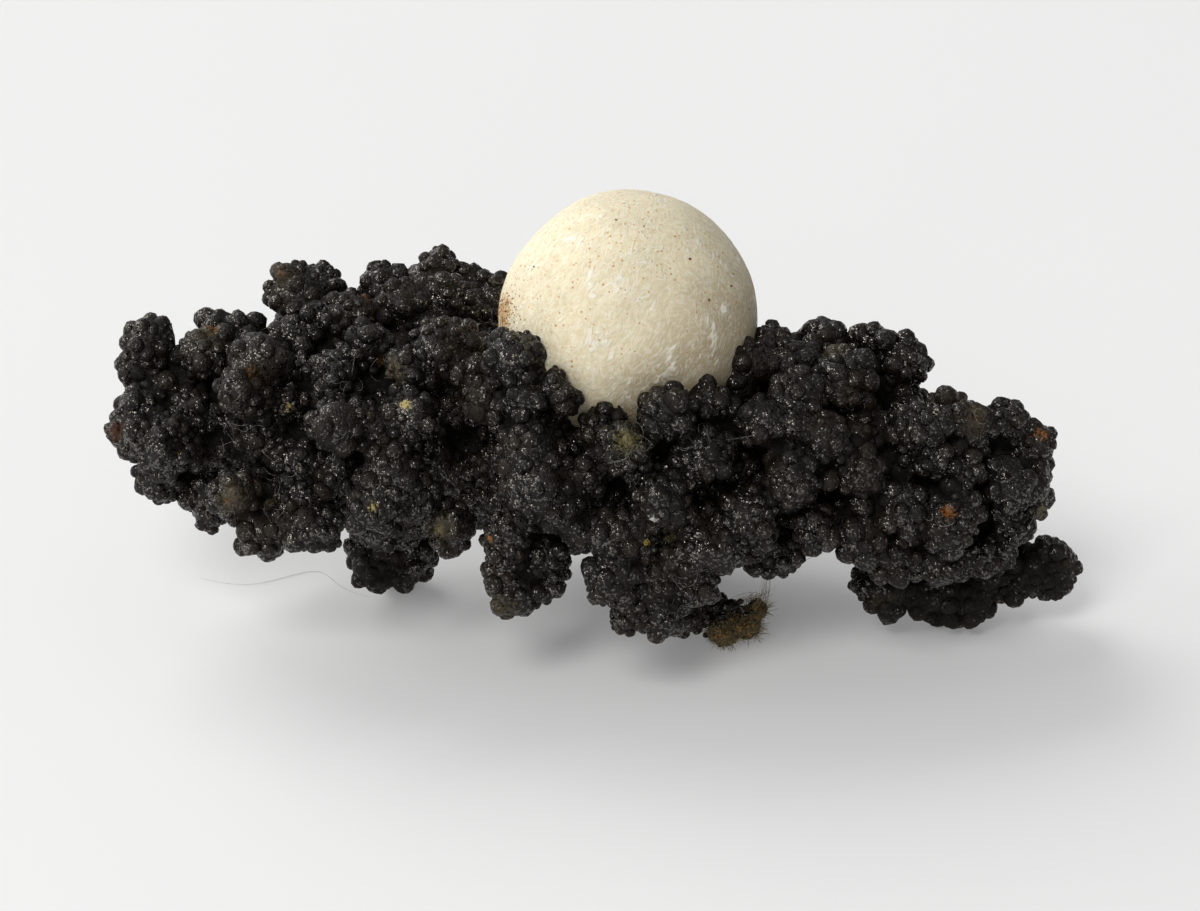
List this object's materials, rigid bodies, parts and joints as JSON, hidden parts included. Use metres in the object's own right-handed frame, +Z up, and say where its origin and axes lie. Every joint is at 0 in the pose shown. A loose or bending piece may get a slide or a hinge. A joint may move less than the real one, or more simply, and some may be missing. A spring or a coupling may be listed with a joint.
{
  "type": "aragonite with goethite mineral specimen",
  "caption": "Elongated grape-like black goethite mass on its own lower branches, with one smooth cream-white aragonite ball in a hollow in its top.",
  "frame": {"origin": "centre of the box in plan, at the level of the surface that the specimen stands on", "axes": "+X along the specimen's length, to the right of a viewer who faces its shown side, which looks towards -Y; +Z up"},
  "size_m": [0.0404, 0.0172, 0.0185],
  "materials": {
    "goethite": "near-black, semi-gloss with fine glitter and a few ochre stains",
    "aragonite": "cream-white, satin, finely felted, with tiny tan specks",
    "earth": "olive-brown, matt, fuzzy"
  },
  "bodies": {
    "root": {"goethite": "goethite", "aragonite_ball": "aragonite", "earthy_tuft": "earth"}
  },
  "joints": []
}
